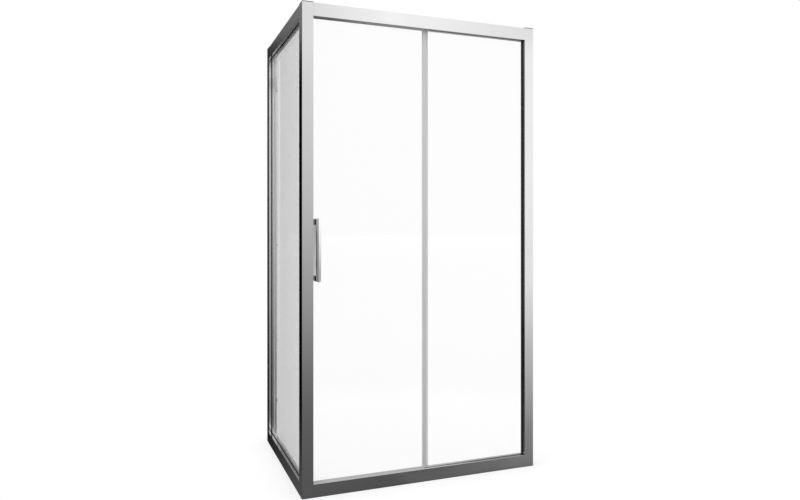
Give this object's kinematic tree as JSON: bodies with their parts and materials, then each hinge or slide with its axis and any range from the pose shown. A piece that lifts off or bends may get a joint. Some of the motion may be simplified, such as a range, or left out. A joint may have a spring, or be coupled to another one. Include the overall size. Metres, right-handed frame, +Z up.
{
  "type": "shower enclosure with sliding door",
  "caption": "Corner shower enclosure: framed fixed side panel, fixed front panel and a clear glass door that rolls behind it, with a bow handle on each face.",
  "frame": {"origin": "bottom centre of the bounding box, on the tray's plane", "axes": "+X along the front from the corner post to the right wall, +Y from the front to the rear wall, +Z up"},
  "size_m": [1.01, 0.815, 1.9],
  "materials": {
    "frame_aluminium": "bright polished",
    "panel_edge_aluminium": "satin anodised",
    "grey_plastic": "satin",
    "clear_glass": "clear tempered",
    "black_rubber": "matte",
    "seal_plastic": "translucent",
    "magnet": "matte",
    "steel": "bright",
    "handle_chrome": "polished",
    "handle_bush_plastic": "translucent",
    "wheel_plastic": "satin"
  },
  "bodies": {
    "frame": {"corner_post": "frame_aluminium", "corner_post_cover": "frame_aluminium", "corner_post_cap": "grey_plastic", "corner_post_foot": "grey_plastic", "wall_channel_right": "frame_aluminium", "wall_channel_rear": "frame_aluminium", "wall_cap_right": "grey_plastic", "wall_cap_rear": "grey_plastic", "jamb_right": "frame_aluminium", "jamb_rear": "frame_aluminium", "side_front_stile": "frame_aluminium", "top_rail": "frame_aluminium", "bottom_rail": "frame_aluminium", "side_top_rail": "frame_aluminium", "side_bottom_rail": "frame_aluminium", "front_joint_plates": "frame_aluminium", "side_joint_plates": "frame_aluminium", "frame_screws": "steel", "head_filler_strips": "frame_aluminium", "sill_filler_strips": "frame_aluminium", "fixed_glass": "clear_glass", "fixed_glass_gasket": "seal_plastic", "side_glass": "clear_glass", "side_glass_gasket": "seal_plastic", "fixed_edge_profile": "panel_edge_aluminium", "centre_seal": "seal_plastic", "post_magnet_seal": "seal_plastic", "post_magnet_bar": "magnet", "closing_stop": "black_rubber", "opening_stop": "black_rubber", "adjuster_screws": "steel", "adjuster_screw_covers": "grey_plastic"},
    "door": {"door_glass": "clear_glass", "door_leading_stile": "panel_edge_aluminium", "door_trailing_stile": "panel_edge_aluminium", "door_top_profile": "panel_edge_aluminium", "door_bottom_profile": "panel_edge_aluminium", "door_magnet_seal": "seal_plastic", "door_magnet_bar": "magnet", "door_trailing_seal": "seal_plastic", "door_bottom_seal": "seal_plastic", "left_roller_carrier": "steel", "right_roller_carrier": "steel", "carrier_screws": "steel", "roller_axles": "steel", "left_guide_bracket": "grey_plastic", "right_guide_bracket": "grey_plastic", "guide_bracket_screws": "steel", "guide_axles": "steel", "outer_handle": "handle_chrome", "inner_handle": "handle_chrome", "handle_bolts": "steel", "handle_bushes": "handle_bush_plastic", "handle_washers": "handle_bush_plastic"},
    "roller_wheel_1": {"roller_wheel_1": "wheel_plastic"},
    "roller_wheel_2": {"roller_wheel_2": "wheel_plastic"},
    "roller_wheel_3": {"roller_wheel_3": "wheel_plastic"},
    "roller_wheel_4": {"roller_wheel_4": "wheel_plastic"},
    "left_guide_wheel": {"left_guide_wheel": "wheel_plastic"},
    "right_guide_wheel": {"right_guide_wheel": "wheel_plastic"}
  },
  "joints": [
    {"name": "door_slide", "type": "slide", "parent": "frame", "child": "door", "axis": [1, 0, 0], "range_m": [0, 0.42]},
    {"name": "roller_wheel_1_turn", "type": "hinge", "parent": "door", "child": "roller_wheel_1", "pos_m": [-0.4247, -0.349, 1.882], "axis": [0, 1, 0], "continuous": true},
    {"name": "roller_wheel_2_turn", "type": "hinge", "parent": "door", "child": "roller_wheel_2", "pos_m": [-0.3847, -0.349, 1.882], "axis": [0, 1, 0], "continuous": true},
    {"name": "roller_wheel_3_turn", "type": "hinge", "parent": "door", "child": "roller_wheel_3", "pos_m": [-0.059, -0.349, 1.882], "axis": [0, 1, 0], "continuous": true},
    {"name": "roller_wheel_4_turn", "type": "hinge", "parent": "door", "child": "roller_wheel_4", "pos_m": [-0.019, -0.349, 1.882], "axis": [0, 1, 0], "continuous": true},
    {"name": "left_guide_wheel_turn", "type": "hinge", "parent": "door", "child": "left_guide_wheel", "pos_m": [-0.4047, -0.3482, 0.017], "axis": [0, 0, 1], "continuous": true},
    {"name": "right_guide_wheel_turn", "type": "hinge", "parent": "door", "child": "right_guide_wheel", "pos_m": [-0.039, -0.3482, 0.017], "axis": [0, 0, 1], "continuous": true}
  ],
  "couplings": [
    {"joint": "roller_wheel_1_turn", "follows": "door_slide", "rad_per_m": 100},
    {"joint": "roller_wheel_2_turn", "follows": "door_slide", "rad_per_m": 100},
    {"joint": "roller_wheel_3_turn", "follows": "door_slide", "rad_per_m": 100},
    {"joint": "roller_wheel_4_turn", "follows": "door_slide", "rad_per_m": 100},
    {"joint": "left_guide_wheel_turn", "follows": "door_slide", "rad_per_m": -142.86},
    {"joint": "right_guide_wheel_turn", "follows": "door_slide", "rad_per_m": -142.86}
  ]
}
